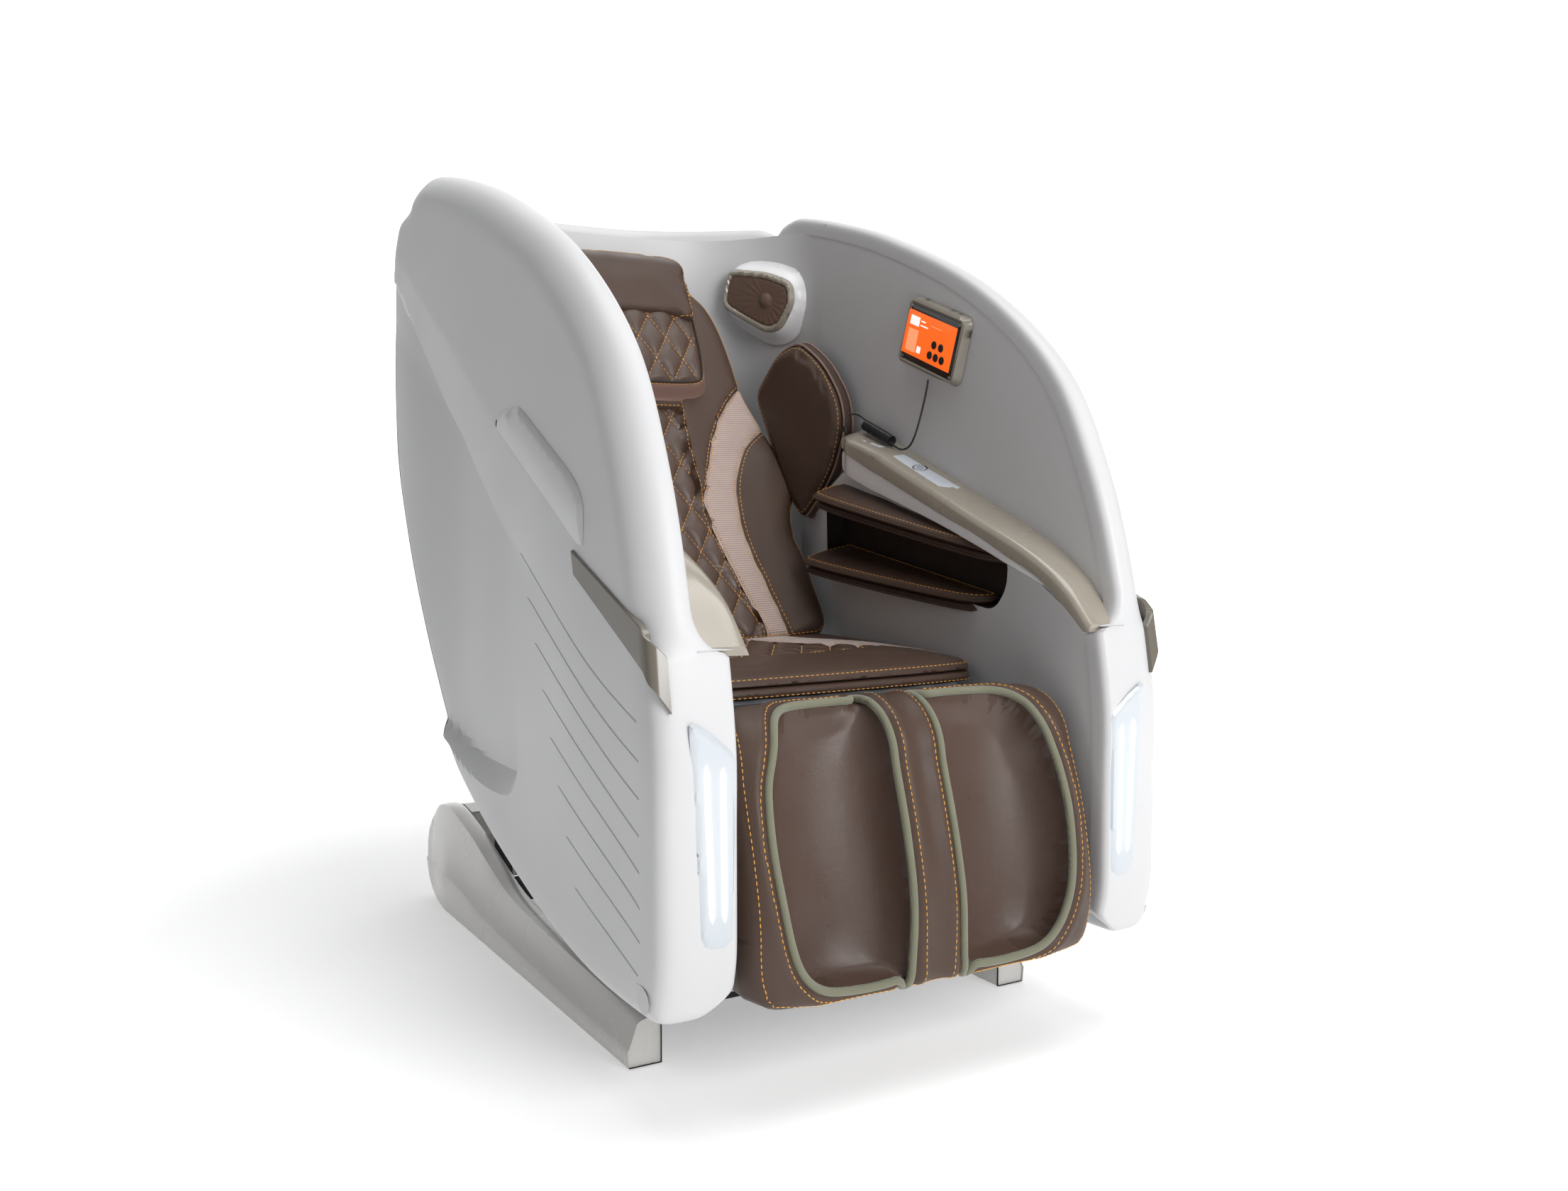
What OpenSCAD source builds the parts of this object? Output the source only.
// Coin-operated massage chair: a two-sided shell cabin that tilts on a low floor base,
// with a lifting leg rest, a roller carriage behind the backrest and a wall tablet.
// X is the width (the occupant's left is +X), -Y is the front, +Z is up.
// The origin is on the floor at the centre of the outline.

/* [Cabin] */
// Overall width over the badges
chair_w = 736; // [700:2:780]
// Thickness of the outer skins
skin = 4; // [3:0.5:5]
// Half of the space between the upper inner walls
upper_half = 306; // [300:1:312]
// Half of the space between the lower inner walls
lower_half = 266; // [262:1:270]

/* [Seat and back] */
// Height of the seat's top
seat_z = 470; // [460:1:480]
// Half width of the seat cushion
seat_half = 252; // [240:1:256]
// Backrest recline from vertical, degrees
recline = 27; // [25:0.5:29]
// Backrest length along its slope
back_len = 670; // [640:5:680]
// Backrest thickness
back_t = 52; // [46:1:56]

/* [Leg rest] */
// Half width of the leg rest
leg_half = 245; // [235:1:250]
// Width of one calf channel
channel_w = 168; // [150:1:175]

/* [Mechanism] */
// Radius of the tilt shaft
tilt_r = 12; // [10:0.5:14]
// Radial running clearance of every shaft
run = 0.05; // [0.03:0.01:0.08]
// Radius of the carriage rails
rail_r = 9; // [8:0.5:10]

/* [Cord] */
// Diameter of the tablet cord
cord_d = 3; // [2.5:0.1:3.2]
// Outer diameter of its curly stretch
coil_d = 18; // [17:0.5:19]

/* [Hidden] */
$fn = 48;
side_x = chair_w / 2 - 4;          // outer face of the side shells
rim_x = 310;                       // inner edge of the rolled rim
column_front = -556;               // front face of the columns
tilt_pivot = [327, 150];           // [y, z] of the cabin's tilt axis
leg_pivot = [-345, 405];           // [y, z] of the leg rest's axis
back_foot = [88, seat_z + 2];      // [y, z] of the backrest's front face at the seat
tilt_foot = [-207, 77.5];          // [y, z] of the tilt actuator's lower pin
tilt_line = 62.9;                  // slope of the tilt actuator, degrees
tilt_reach = 250;                  // lower pin to rod eye at rest
leg_rod_z = 319.5;                 // height of the leg actuator's axis
leg_eye_y = -307;                  // leg actuator's eye at rest
carriage_s = 40;                   // carriage's lower edge along the back, at rest

function mix(a, b, t) = a + (b - a) * t;
// A point of the smooth curve through p0..p3, between p1 and p2
function knot(p0, p1, p2, p3, t) =
    0.5 * ((2 * p1) + (p2 - p0) * t + (2 * p0 - 5 * p1 + 4 * p2 - p3) * t * t
    + (3 * p1 - p0 - 3 * p2 + p3) * t * t * t);
// A smooth curve through the points p, with n steps between neighbours
function curve(p, n) = [
    for (i = [0 : len(p) - 2], k = [0 : n - 1])
        knot(p[max(i - 1, 0)], p[i], p[i + 1], p[min(i + 2, len(p) - 1)], k / n),
    p[len(p) - 1]
];
function arc(c, r, a0, a1, n) =
    [for (k = [0 : n]) let (a = mix(a0, a1, k / n)) [c[0] + r * cos(a), c[1] + r * sin(a)]];
function unit(v) = v / norm(v);
// A closed outline moved inward by d; the outline turns clockwise
function inset(p, d) = [
    for (i = [0 : len(p) - 1])
        let (n = len(p), e = unit(p[(i + 1) % n] - p[(i + n - 1) % n])) p[i] + d * [e[1], -e[0]]
];
function mirror_x(p) = concat(p, [for (i = [len(p) - 1 : -1 : 0]) [-p[i][0], p[i][1]]]);

// Side outline of the cabin in [y, z], clockwise seen from the +X side
front_edge = concat([[column_front, 190]], curve([[column_front, 456], [-549, 500], [-522, 600],
    [-472, 740], [-385, 874], [-226, 1005], [-3, 1117], [183, 1177], [300, 1204]], 4));
rear_edge = curve([[345, 1196], [430, 1094], [488, 960], [491, 804], [461, 687], [357, 487],
    [254, 331]], 4);
bottom_edge = arc([-463, 1565], 1444, -62.7, -93, 10);
cabin_outline = concat(front_edge, rear_edge, bottom_edge);
// Top line of the armrest, from its rear end to its front nose
arm_top = [[60, 805], [52, 808], [-400, 638], [-468, 602], [-508, 556], [-518, 534]];
arm_cover_low = [[-524, 523], [-481, 566], [-438, 592], [-380, 613], [-301, 645], [-89, 720],
    [60, 774]];
arm_body_low = [[-380, 612], [-330, 618], [-80, 690], [45, 731], [60, 745]];
bay = [[-352, 600], [-352, 572], [-325, 540], [110, 592], [112, 690], [76, 717], [-60, 691],
    [-331, 614]];
// Route of the cord in [x, y, z]: the gland, then up and over into the coil's rear end
lead_lower = [[262, 56, 808], [262, 56, 814], [263, 56, 820], [267, 55, 825], [272, 51, 829],
    [277, 46, 829], [281, 41, 826], [284, 34, 821]];
// From the coil's front end down, then up into the tablet
lead_upper = [[284, -47, 778], [284, -54, 774], [285, -63, 770], [287, -74, 769], [289, -86, 774],
    [291, -96, 788], [293, -103, 806], [295, -109, 826], [297, -114, 846], [298, -118, 862],
    [298, -121, 874]];
coil_rear = [284, 35, 812.5];
coil_front = [284, -48, 781.5];

// ---- placing helpers ----

// Extrudes an outline drawn in [y, z] from x0 to x1
module side_slab(points, x0, x1) {
    translate([x0, 0, 0]) rotate([90, 0, 90]) linear_extrude(x1 - x0) polygon(points);
}
// s is 1 for the +X side and -1 for its mirror image
module on_side(s) {
    mirror([s < 0 ? 1 : 0, 0, 0]) children();
}
// Local frame of the backrest: x across, y backward from its face, z up its slope
module on_back() {
    translate([0, back_foot[0], back_foot[1]]) rotate([-recline, 0, 0]) children();
}
// A bar along X at [y, z]
module cross_bar(p, r, x0, x1) {
    translate([x0, p[0], p[1]]) rotate([0, 90, 0]) cylinder(r = r, h = x1 - x0);
}
// Tube of radius r swept along a route of [x, y, z] points, with 8 sides
module swept_tube(p, r) {
    n = len(p);
    m = 8;
    dirs = [for (i = [0 : n - 1]) unit(p[min(i + 1, n - 1)] - p[max(i - 1, 0)])];
    rings = [
        for (i = [0 : n - 1], k = [0 : m - 1])
            let (t = dirs[i], u = unit(cross(t, [1, 0.2, 0])), v = cross(t, u))
                p[i] + r * (cos(360 * k / m) * u + sin(360 * k / m) * v)
    ];
    walls = [
        for (i = [0 : n - 2], k = [0 : m - 1], h = [0, 1])
            let (a = i * m + k, b = i * m + (k + 1) % m, c = a + m, d = b + m)
                h == 0 ? [a, b, d] : [a, d, c]
    ];
    ends = [[for (k = [m - 1 : -1 : 0]) k], [for (k = [0 : m - 1]) (n - 1) * m + k]];
    polyhedron(rings, concat([for (f = concat(walls, ends)) [for (i = [len(f) - 1 : -1 : 0]) f[i]]]));
}

// ---- base ----

module base_frame() {
    color("dimgray") {
        for (s = [-1, 1]) on_side(s) {
            translate([270, -320, 14]) cube([26, 800, 34]);
            difference() {
                translate([226, 300, 20]) cube([12, 54, 158]);
                cross_bar(tilt_pivot, tilt_r, 220, 244);
            }
            translate([226, 354, 20]) cube([12, 30, 60]);
        }
        translate([-270, -225, 14]) cube([540, 36, 30]);
        translate([-270, 356, 14]) cube([540, 34, 34]);
        for (x = [-30, 18]) difference() {
            side_slab([[-224, 44], [-190, 44], [-194, 94], [-220, 94]], x, x + 12);
            cross_bar(tilt_foot, 8, x - 1, x + 13);
        }
        for (s = [-1, 1]) on_side(s) cross_bar([500, 34], 6, 208, 270);
        for (s = [-1, 1]) on_side(s) translate([204, 390, 20]) cube([6, 90, 28]);
        for (s = [-1, 1]) on_side(s) difference() {
            side_slab([[480, 26], [508, 26], [510, 48], [480, 48]], 204, 210);
            cross_bar([500, 34], 6, 203, 208);
        }
    }
}
// Outer profile of one floor rail in [y, z]
rail_outline = [[-344, 2], [-344, 58], [-338, 62], [-110, 76], [110, 92], [220, 120], [330, 152],
    [440, 174], [486, 166], [514, 128], [527, 92], [527, 50], [500, 2]];
module base_cover(s) {
    color("whitesmoke") on_side(s) difference() {
        side_slab(rail_outline, 262, 309.5);
        side_slab([[-340, -1], [-340, 54], [-110, 71], [110, 87], [220, 115], [330, 147],
            [440, 169], [483, 161], [510, 126], [522, 92], [522, 50], [497, -1]], 266, 305.5);
        translate([255, 300, 10]) cube([12, 223, 170]);
        translate([255, -227, -1]) cube([12, 40, 46.5]);
    }
}
module base_rear_cover() {
    color("whitesmoke") difference() {
        side_slab([[398, 8], [398, 166], [440, 172], [486, 164], [514, 126], [525, 92], [525, 50],
            [499, 8]], -261.8, 261.8);
        side_slab([[390, 0], [390, 162], [440, 168], [483, 160], [510, 124], [521, 92], [521, 50],
            [496, 0]], -258, 258);
        translate([-25, 500, 60]) cube([50, 60, 32]);
        translate([60, 500, 60]) cube([20, 60, 32]);
        for (s = [-1, 1]) on_side(s) translate([209, 490, 0]) cube([62, 60, 68]);
    }
}
module base_feet() {
    color("black") for (x = [-284, 284], y = [-300, 420])
        translate([x, y, 0]) cylinder(r = 18, h = 14);
}
module power_inlet() {
    color("black") difference() {
        translate([-24.8, 503, 60.2]) cube([49.6, 26, 31.6]);
        translate([-15, 512, 66]) cube([30, 20, 20]);
        translate([-26, 527, 59]) cube([52, 4, 34]);
    }
    color("silver") for (x = [-7, 0, 7]) translate([x - 1, 508, 75]) cube([2, 16, 4]);
}
module power_switch() {
    color("firebrick") intersection() {
        translate([62, 503, 64]) cube([16, 24, 24]);
        cross_bar([508, 76], 17, 60, 80);
    }
}
module transport_wheel(s) {
    color("gray") on_side(s) difference() {
        union() {
            cross_bar([500, 34], 30, 222, 246);
            cross_bar([500, 34], 12, 218, 250);
        }
        cross_bar([500, 34], 6 + run, 217, 251);
    }
}
module tilt_shaft() {
    color("silver") cross_bar(tilt_pivot, tilt_r, -240, 240);
}
// Places its children with z along the tilt actuator, from its lower pin
module on_tilt_line() {
    translate([0, tilt_foot[0], tilt_foot[1]]) rotate([-(90 - tilt_line), 0, 0]) children();
}
module tilt_actuator_tube() {
    color("dimgray") {
        on_tilt_line() difference() {
            union() {
                translate([0, 0, 26]) cylinder(r = 24, h = 140);
                translate([-16, -16, 0]) cube([32, 32, 28]);
            }
            translate([0, 0, 30]) cylinder(r = tilt_r + run, h = 140);
            rotate([0, 90, 0]) translate([0, 0, -20]) cylinder(r = 8, h = 40);
        }
        cross_bar(tilt_foot, 8, -30, 30);
    }
}
module tilt_actuator_rod() {
    color("silver") on_tilt_line() difference() {
        union() {
            translate([0, 0, 34]) cylinder(r = tilt_r, h = tilt_reach - 46);
            translate([-8, 0, tilt_reach]) rotate([0, 90, 0]) cylinder(r = 19, h = 16);
        }
        translate([-9, 0, tilt_reach]) rotate([0, 90, 0]) cylinder(r = 12, h = 18);
    }
}

// ---- cabin structure ----

module cabin_frame() {
    color("dimgray") {
        for (s = [-1, 1]) on_side(s) {
            translate([226, -290, 332]) cube([24, 470, 26]);
            difference() {
                side_slab([[130, 332], [180, 358], [350, 172], [350, 128], [304, 128]], 204, 212);
                cross_bar(tilt_pivot, tilt_r + run, 200, 216);
            }
            translate([204, 130, 332]) cube([24, 46, 26]);
            side_slab([[-290, 332], [-301, 358], [-341, 414], [-350, 414], [-352, 396], [-318, 332]],
                212, 226);
            translate([212, -318, 332]) cube([14, 40, 26]);
            on_back() translate([140, 96, -60]) cylinder(r = rail_r, h = 700);
        }
        translate([-226, -290, 332]) cube([452, 30, 26]);
        translate([-226, 150, 332]) cube([452, 30, 26]);
        cross_bar(leg_pivot, 8, -213, 213);
        on_back() {
            translate([-165, 86, -70]) cube([330, 20, 24]);
            translate([-165, 86, 636]) cube([330, 20, 16]);
        }
        for (s = [-1, 1]) on_side(s) side_slab([[120, 358], [120, 344], [178, 344], [196, 400],
            [150, 420]], 140, 152);
        // pin that the tilt actuator's eye turns on
        for (x = [-24, 12]) side_slab([[-112, 288], [-72, 288], [-60, 345], [-124, 345]], x, x + 12);
        cross_bar([-91.3, 299.1], 8, -14, 14);
        translate([-226, -124, 345]) cube([452, 64, 13]);
        // clevis of the leg actuator
        translate([74, -72, 296]) cube([12, 40, 50]);
        translate([114, -72, 296]) cube([12, 40, 50]);
    }
}
module leg_actuator_tube() {
    color("dimgray") difference() {
        union() {
            translate([100, -52, leg_rod_z]) rotate([90, 0, 0]) cylinder(r = 13.8, h = 150);
            translate([86, -72, leg_rod_z - 14]) cube([28, 40, 24]);
        }
        translate([100, -60, leg_rod_z]) rotate([90, 0, 0]) cylinder(r = 8 + run, h = 160);
    }
}
module leg_actuator_rod() {
    color("silver") difference() {
        union() {
            translate([100, -78, leg_rod_z]) rotate([90, 0, 0]) cylinder(r = 8, h = -leg_eye_y - 90);
            cross_bar([leg_eye_y, leg_rod_z], 18, 90, 110);
        }
        cross_bar([leg_eye_y, leg_rod_z], 12, 89, 111);
    }
}

// ---- shells and liners ----

module side_shell(s) {
    color("white") on_side(s) {
        difference() {
            side_slab(cabin_outline, rim_x, side_x);
            side_slab(inset(cabin_outline, skin), rim_x - 1, side_x - skin);
        }
        // front column below the armrest step
        side_slab([[column_front, 190], [column_front, 521], [column_front + skin, 524],
            [column_front + skin, 190]], lower_half, rim_x);
        side_slab([[column_front, 190], [column_front, 524], [-500, 524], [-500, 190]],
            lower_half, lower_half + skin);
    }
}
// Half width and rear reach of the back shell at each height: [z, side y, back y]
back_rows = [[331, 254, 300], [410, 307, 380], [487, 357, 440], [585, 412, 498], [687, 461, 534],
    [745, 482, 545], [804, 490, 554], [920, 494, 560], [1010, 474, 558], [1094, 430, 552], [1150, 385, 546],
    [1196, 345, 538]];
// Plan of one row, from the +X side round the back to the -X side, set in by d
function back_plan(row, d) = let (y0 = row[1], y1 = row[2], w = side_x)
    mirror_x([[w - d, y0 - d * 0.3], [w - 12 - d, mix(y0, y1, 0.3) - d * 0.4],
        [w * 0.78 - d * 0.7, mix(y0, y1, 0.68) - d * 0.7],
        [w * 0.45 - d * 0.3, mix(y0, y1, 0.93) - d], [w * 0.15, y1 - d]]);
// A curved wall of the given thickness between two sets of plan rows
module plan_wall(outer, inner, zs) {
    rows = len(zs);
    m = len(outer[0]);
    pts = concat(
        [for (i = [0 : rows - 1], k = [0 : m - 1]) [outer[i][k][0], outer[i][k][1], zs[i]]],
        [for (i = [0 : rows - 1], k = [0 : m - 1]) [inner[i][k][0], inner[i][k][1], zs[i]]]);
    o = rows * m;
    skins = [
        for (i = [0 : rows - 2], k = [0 : m - 2], f = [0 : 3])
            let (a = i * m + k, b = a + 1, c = a + m, d = c + 1)
                f == 0 ? [a, b, d] : f == 1 ? [a, d, c]
                : f == 2 ? [o + a, o + d, o + b] : [o + a, o + c, o + d]
    ];
    rims = [
        for (k = [0 : m - 2], f = [0 : 3])
            let (a = k, b = k + 1, t = (rows - 1) * m)
                f == 0 ? [a, o + b, b] : f == 1 ? [a, o + a, o + b]
                : f == 2 ? [t + a, t + b, o + t + b] : [t + a, o + t + b, o + t + a]
    ];
    ends = [
        for (i = [0 : rows - 2], f = [0 : 3])
            let (a = i * m, c = a + m, b = a + m - 1, d = c + m - 1)
                f == 0 ? [a, c, o + c] : f == 1 ? [a, o + c, o + a]
                : f == 2 ? [b, o + d, d] : [b, o + b, o + d]
    ];
    polyhedron(pts, [for (f = concat(skins, rims, ends)) [f[2], f[1], f[0]]]);
}
module back_shell() {
    rows = [for (r = back_rows) [r[0], r[1] + 6, r[2]]];
    color("white") plan_wall([for (r = rows) back_plan(r, 0)], [for (r = rows) back_plan(r, skin)],
        [for (r = rows) r[0]]);
}
module back_liner() {
    rows = [for (r = back_rows) if (r[0] > 480 && r[0] < 1170) r];
    function plan(r, d) = mirror_x([[upper_half - d, r[1] - 62], [upper_half - 40 - d, r[1] - 28],
        [upper_half * 0.6 - d * 0.5, r[2] - 42 - d], [upper_half * 0.2, r[2] - 26 - d]]);
    color("gainsboro") plan_wall([for (r = rows) plan(r, 0)], [for (r = rows) plan(r, 3)],
        [for (r = rows) r[0]]);
}
module side_liner(s) {
    inner = inset(cabin_outline, skin + 22);
    color("gainsboro") on_side(s) {
        difference() {
            side_slab(inner, upper_half, upper_half + skin);
            side_slab([[-600, 100], [-600, 560], [-510, 540], [-400, 612], [62, 780], [62, 500],
                [420, 500], [420, 100]], upper_half - 1, upper_half + skin + 1);
        }
        difference() {
            side_slab([[-499, 190], [-499, 500], [-470, 540], [-380, 605], [-60, 700], [62, 738],
                [130, 700], [180, 500], [180, 260], [0, 230], [-200, 180]],
                lower_half, lower_half + skin);
            side_slab(bay, lower_half - 1, lower_half + skin + 1);
        }
        // shelf between the lower and the upper wall
        side_slab([[-470, 540], [-470, 546], [-380, 612], [-60, 706], [62, 744], [62, 738],
            [-60, 700], [-380, 605]], lower_half, upper_half + skin);
    }
}

// ---- trim on the outside ----

module trim_blade(s) {
    color([0.42, 0.4, 0.36]) on_side(s) side_slab([[-352, 603], [-346, 633], [-506, 576],
        [-548, 522], [-552, 472], [-468, 539]], side_x, side_x + 3);
}
module badge_plate(s) {
    color("white") on_side(s) side_slab(concat([[-36, 797]], arc([-125, 780], 32, 80, 110, 3),
        arc([-270, 716], 30, 110, 125, 2), arc([-325, 690], 25, 120, 190, 5), [[-346, 639]]),
        side_x, chair_w / 2);
}
// Outline of the lamp panel in [x, z] on a column's front
lamp_outline = concat(arc([294, 226], 18, 180, 330, 8), [[318, 300], [321, 455]],
    arc([340, 395], 70, 122, 152, 4));
module lamp_lens(s) {
    color([0.88, 0.9, 0.91]) on_side(s) difference() {
        translate([0, column_front, 0]) rotate([90, 0, 0]) linear_extrude(skin) polygon(lamp_outline);
        for (x = [284, 298.5]) translate([x, column_front - skin - 1, 236]) cube([7, skin + 2, 174]);
    }
}
module lamp_bars(s) {
    color("white") on_side(s) for (x = [284.2, 298.7])
        translate([x, column_front - skin, 236.2]) cube([6.6, skin, 173.6]);
}

// ---- armrests, charger, tray and tablet ----

module armrest(s) {
    top = [[60, 773.8], [-89, 719.8], [-301, 644.8], [-380, 612.8]];
    color("gainsboro") on_side(s) difference() {
        side_slab(concat(top, arm_body_low), 246, upper_half - 0.2);
        side_slab([[-480, 530], [-470, 546], [-380, 612], [-60, 706], [62, 744], [80, 744],
            [80, 500]], lower_half - 0.2, upper_half + 1);
    }
}
module armrest_cover(s) {
    color([0.56, 0.53, 0.5]) on_side(s) difference() {
        side_slab(concat(arm_top, arm_cover_low), 244, upper_half - 0.2);
        side_slab([[-60, 757], [-60, 825], [-220, 765], [-220, 697]], 256, 297);
    }
}
// Slope of the armrest's top in the pocket of the charger and the tray
module in_arm_pocket(s) {
    on_side(s) side_slab([[-60.3, 757.2], [-60.3, 762.9], [-219.7, 702.9], [-219.7, 697.3]],
        256.3, 296.7);
}
module charger_pad() {
    color("lightsteelblue") in_arm_pocket(1);
}
module phone_tray() {
    color("dimgray") difference() {
        in_arm_pocket(-1);
        side_slab([[-70, 756.5], [-70, 775], [-210, 722], [-210, 704]], -290, -263);
    }
}
module arm_pad_upper(s) {
    color("saddlebrown") on_side(s) hull() {
        side_slab([[-330, 594], [-330, 612], [-60, 686], [-60, 664]], 240, 297.5);
        side_slab([[-200, 636], [-200, 642], [60, 712], [72, 704], [60, 694]], 206, 297.5);
    }
}
module arm_pad_lower(s) {
    color("saddlebrown") on_side(s) {
        hull() {
            side_slab([[-322, 546], [-322, 566], [-60, 596], [-60, 572]], 238, 302);
            side_slab([[-200, 566], [-200, 574], [84, 628], [94, 616], [84, 600]], 196, 302);
        }
        side_slab([[-322, 556], [-322, 616], [-60, 680], [60, 706], [60, 616]], 298, 304);
    }
}
// Outline of a shoulder pad in its own plane: [forward, up]
shoulder_outline = [[37, 871], [91, 754], [126, 687], [155, 660], [222, 739], [247, 808],
    [236, 860], [197, 917], [142, 953], [85, 934]];
module shoulder_pad(s) {
    color("saddlebrown") on_side(s) translate([200, 307, 0]) rotate([0, 0, -75.5])
        translate([0, 38, 0]) rotate([90, 0, 0]) linear_extrude(38) polygon(shoulder_outline);
}
// Local frame of a speaker on the rear corner of the inner wall: -y faces the head
module on_speaker() {
    translate([263, 331, 1045]) rotate([0, 0, -68]) children();
}
speaker_outline = [[-66, 63], [19, 48], [77, 24], [84, -10], [51, -61], [19, -67], [-44, -32],
    [-88, -7], [-84, 32]];
module speaker_pod(s) {
    color("gainsboro") on_side(s) on_speaker() difference() {
        translate([0, 12, 0]) rotate([90, 0, 0]) linear_extrude(22) polygon(speaker_outline);
        translate([0, -4, 0]) rotate([90, 0, 0])
            linear_extrude(8) polygon([for (p = speaker_outline) p * 0.82]);
    }
}
module speaker_grille(s) {
    color("saddlebrown") on_side(s) on_speaker() translate([0, -4, 0]) rotate([90, 0, 0])
        linear_extrude(5) polygon([for (p = speaker_outline) p * 0.81]);
}
// Local frame of the tablet: x forward along its long side, z up its short side
module on_tablet() {
    translate([upper_half - 0.2, -134.5, 931]) rotate([20, 0, 0]) children();
}
module tablet_housing() {
    color([0.55, 0.52, 0.48]) on_tablet() difference() {
        translate([-14, -79, -54]) cube([14, 158, 108]);
        translate([-15, -70, -45]) cube([3, 140, 90]);
        translate([-7, 13, -58]) cylinder(r = cord_d / 2, h = 10);
    }
}
module tablet_screen() {
    color("orangered") on_tablet() translate([-14, -69.8, -44.8]) cube([2, 139.6, 89.6]);
}
module cord_gland() {
    color("black") translate([262, 56, 800]) difference() {
        cylinder(r = 4, h = 9);
        translate([0, 0, 8]) cylinder(r = cord_d / 2, h = 2);
    }
}
module cord_lead_lower() {
    color("black") swept_tube(lead_lower, cord_d / 2);
}
module cord_coil() {
    d = coil_front - coil_rear;
    color("black") translate(coil_rear) rotate([90 - atan2(d[2], -d[1]), 0, 0])
        cylinder(r = coil_d / 2, h = norm(d));
}
module cord_lead_upper() {
    color("black") swept_tube(lead_upper, cord_d / 2);
}

// ---- upholstery ----

module seat_cushion() {
    color("saddlebrown") side_slab(concat([[60, 362], [86, 380], [78, seat_z - 4], [0, seat_z]],
        [[-200, seat_z - 6]], arc([-268, 415], 48, 90, 180, 6), [[-316, 390], [-296, 362]]),
        -seat_half, seat_half);
}
back_half = [[0, -6], [214, -6], [240, 20], [248, 120], [248, 260], [246, 320], [214, 450],
    [192, 570], [160, 640], [120, back_len]];
module backrest_cushion() {
    color("saddlebrown") on_back() translate([0, back_t, 0]) rotate([90, 0, 0])
        linear_extrude(back_t) polygon(mirror_x(back_half));
}
module head_pillow() {
    outline = mirror_x([[0, 415], [90, 415], [125, 440], [143, 500], [143, 660], [120, 690]]);
    color("saddlebrown") on_back() translate([0, -0.5, 0]) rotate([90, 0, 0])
        linear_extrude(46) polygon(outline);
}
module seat_apron() {
    color("slategray") side_slab([[-320, 408], [-320, 412], [-337, 423], [-346, 423], [-346, 420],
        [-338, 420], [-324, 408]], -186, 186);
}

// ---- leg rest ----

leg_front = concat(arc([-444, 378], 70, 95, 175, 6), [[-540, 300], [-557, 220], [-557, 150]],
    arc([-532, 130], 25, 180, 262, 3));
module legrest_shell() {
    color("dimgray") {
        side_slab([[-374, 436], [-386, 440], [-428, 106], [-412, 102], [-368, 396]],
            -leg_half, leg_half);
        for (s = [-1, 1]) on_side(s) difference() {
            side_slab(concat([[-372, 360], [-374, 420]], arc(leg_pivot, 17, 100, -100, 8)),
                190, 200);
            cross_bar(leg_pivot, 8 + run, 189, 201);
        }
        // crank that the leg actuator's rod pushes
        for (x = [78, 112]) side_slab([[-376, 370], [-388, 300], [-320, 309], [-294, 316],
            [-294, 334], [-320, 345]], x, x + 10);
        cross_bar([leg_eye_y, 323.4], 6, 80, 120);
    }
}
module legrest_pad() {
    outline = concat([[-386.5, 440]], leg_front, [[-428.5, 106]]);
    color("saddlebrown") difference() {
        side_slab(outline, -leg_half, leg_half);
        for (s = [-1, 1]) on_side(s) side_slab([[-420, 470], [-428, 424], [-466, 360], [-480, 240],
            [-478, 150], [-500, 132], [-580, 128], [-580, 470]], 28, 28 + channel_w);
    }
}

// ---- massage carriage behind the backrest ----

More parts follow.
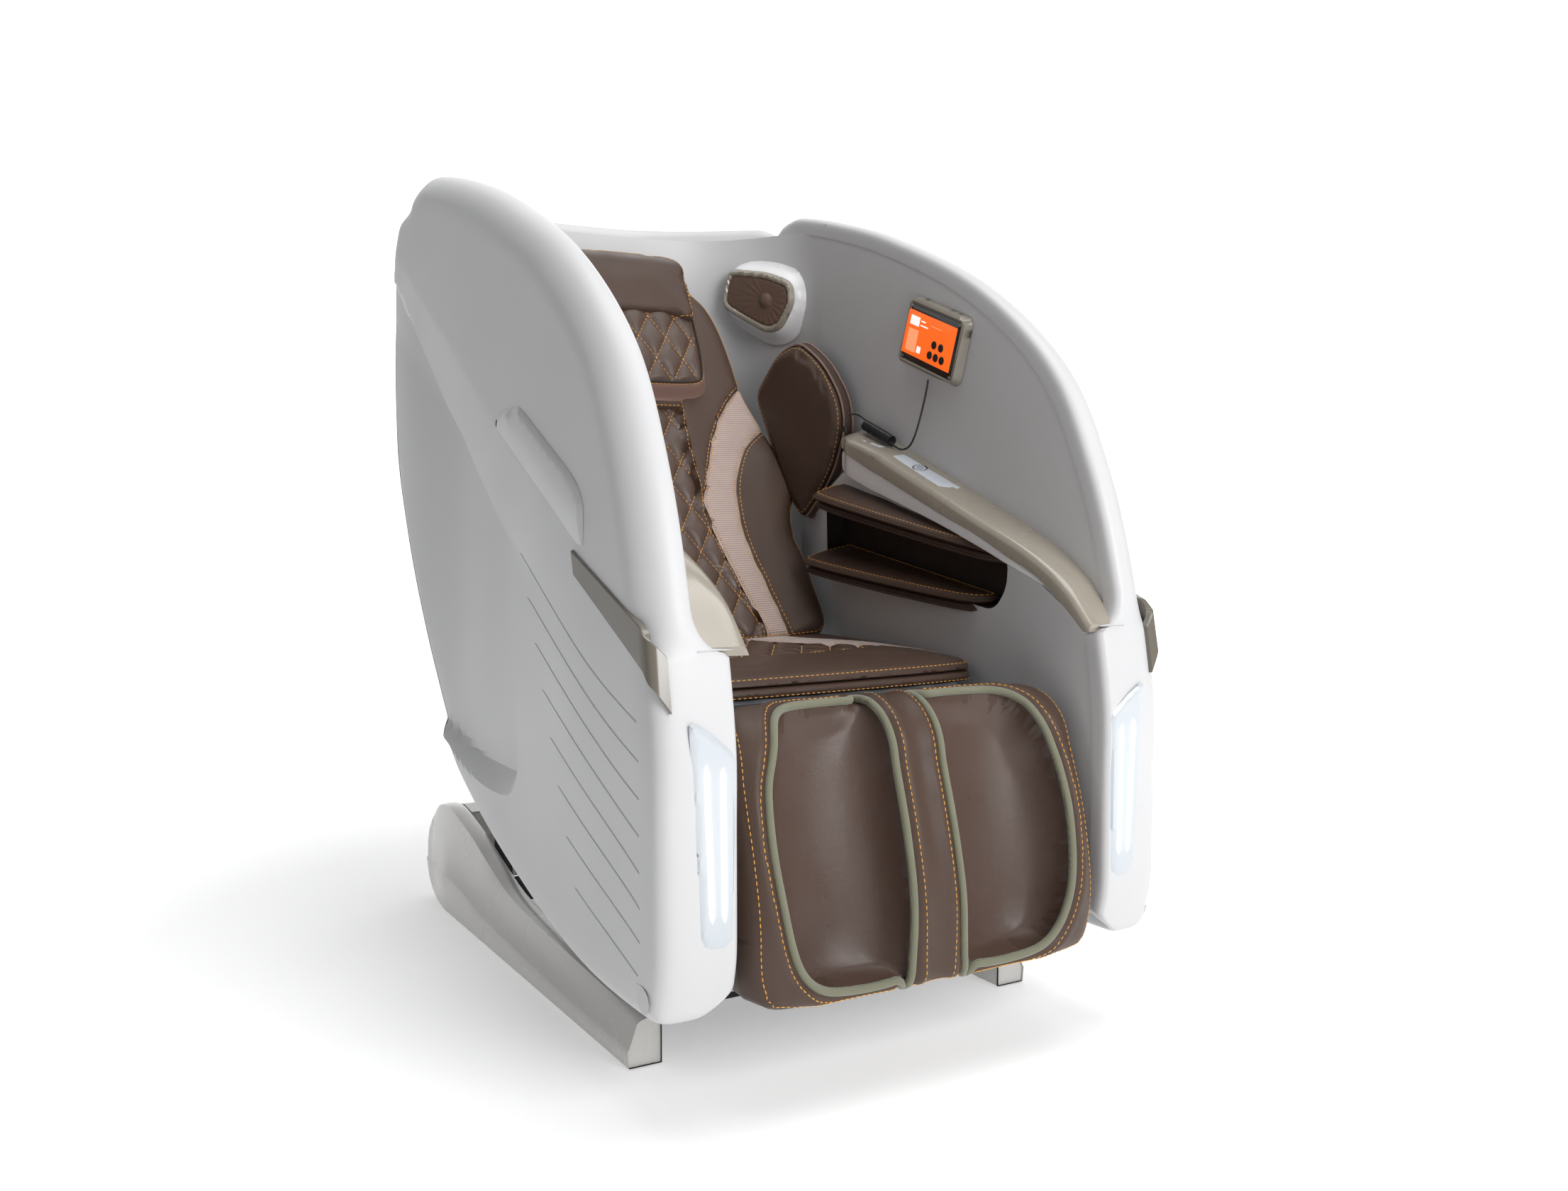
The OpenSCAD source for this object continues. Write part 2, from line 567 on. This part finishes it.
module massage_carriage() {
    color("dimgray") on_back() difference() {
        union() {
            translate([-150, 82, carriage_s]) cube([300, 28, 150]);
            translate([-90, 110, carriage_s + 20]) cube([180, 22, 110]);
            for (x = [-140, 140]) translate([x, 96, carriage_s - 8]) cylinder(r = 17, h = 166);
        }
        for (x = [-140, 140]) translate([x, 96, carriage_s - 9]) cylinder(r = rail_r + run, h = 168);
        for (x = [-62, 62]) translate([x, 81, carriage_s + 75]) rotate([-90, 0, 0])
            cylinder(r = 8 + run, h = 20);
    }
}
module knead_head(s) {
    color("gray") on_side(s) on_back() translate([62, 0, carriage_s + 75]) rotate([-90, 0, 0]) {
        translate([0, 0, 68]) cylinder(r = 8, h = 32);
        translate([0, 0, 68]) cylinder(r = 50, h = 10);
        for (a = [0, 180]) rotate([0, 0, a]) translate([30, 0, 56]) cylinder(r = 17, h = 13);
    }
}

base_frame();
base_cover(1);  // base_cover_left
base_cover(-1);  // base_cover_right
base_rear_cover();
base_feet();
power_inlet();
power_switch();
transport_wheel(1);  // transport_wheel_left
transport_wheel(-1);  // transport_wheel_right
tilt_shaft();
tilt_actuator_tube();
tilt_actuator_rod();
cabin_frame();
side_shell(1);  // side_shell_left
side_shell(-1);  // side_shell_right
back_shell();
side_liner(1);  // side_liner_left
side_liner(-1);  // side_liner_right
back_liner();
trim_blade(1);  // trim_blade_left
trim_blade(-1);  // trim_blade_right
badge_plate(1);  // badge_plate_left
badge_plate(-1);  // badge_plate_right
lamp_lens(1);  // lamp_lens_left
lamp_lens(-1);  // lamp_lens_right
lamp_bars(1);  // lamp_bars_left
lamp_bars(-1);  // lamp_bars_right
armrest(1);  // armrest_left
armrest(-1);  // armrest_right
armrest_cover(1);  // armrest_cover_left
armrest_cover(-1);  // armrest_cover_right
charger_pad();
phone_tray();
arm_pad_upper(1);  // arm_pad_upper_left
arm_pad_upper(-1);  // arm_pad_upper_right
arm_pad_lower(1);  // arm_pad_lower_left
arm_pad_lower(-1);  // arm_pad_lower_right
shoulder_pad(1);  // shoulder_pad_left
shoulder_pad(-1);  // shoulder_pad_right
speaker_pod(1);  // speaker_pod_left
speaker_pod(-1);  // speaker_pod_right
speaker_grille(1);  // speaker_grille_left
speaker_grille(-1);  // speaker_grille_right
tablet_housing();
tablet_screen();
cord_gland();
cord_lead_lower();
cord_coil();
cord_lead_upper();
seat_cushion();
backrest_cushion();
head_pillow();
seat_apron();
legrest_shell();
legrest_pad();
leg_actuator_tube();
leg_actuator_rod();
massage_carriage();
knead_head(1);  // knead_head_left
knead_head(-1);  // knead_head_right
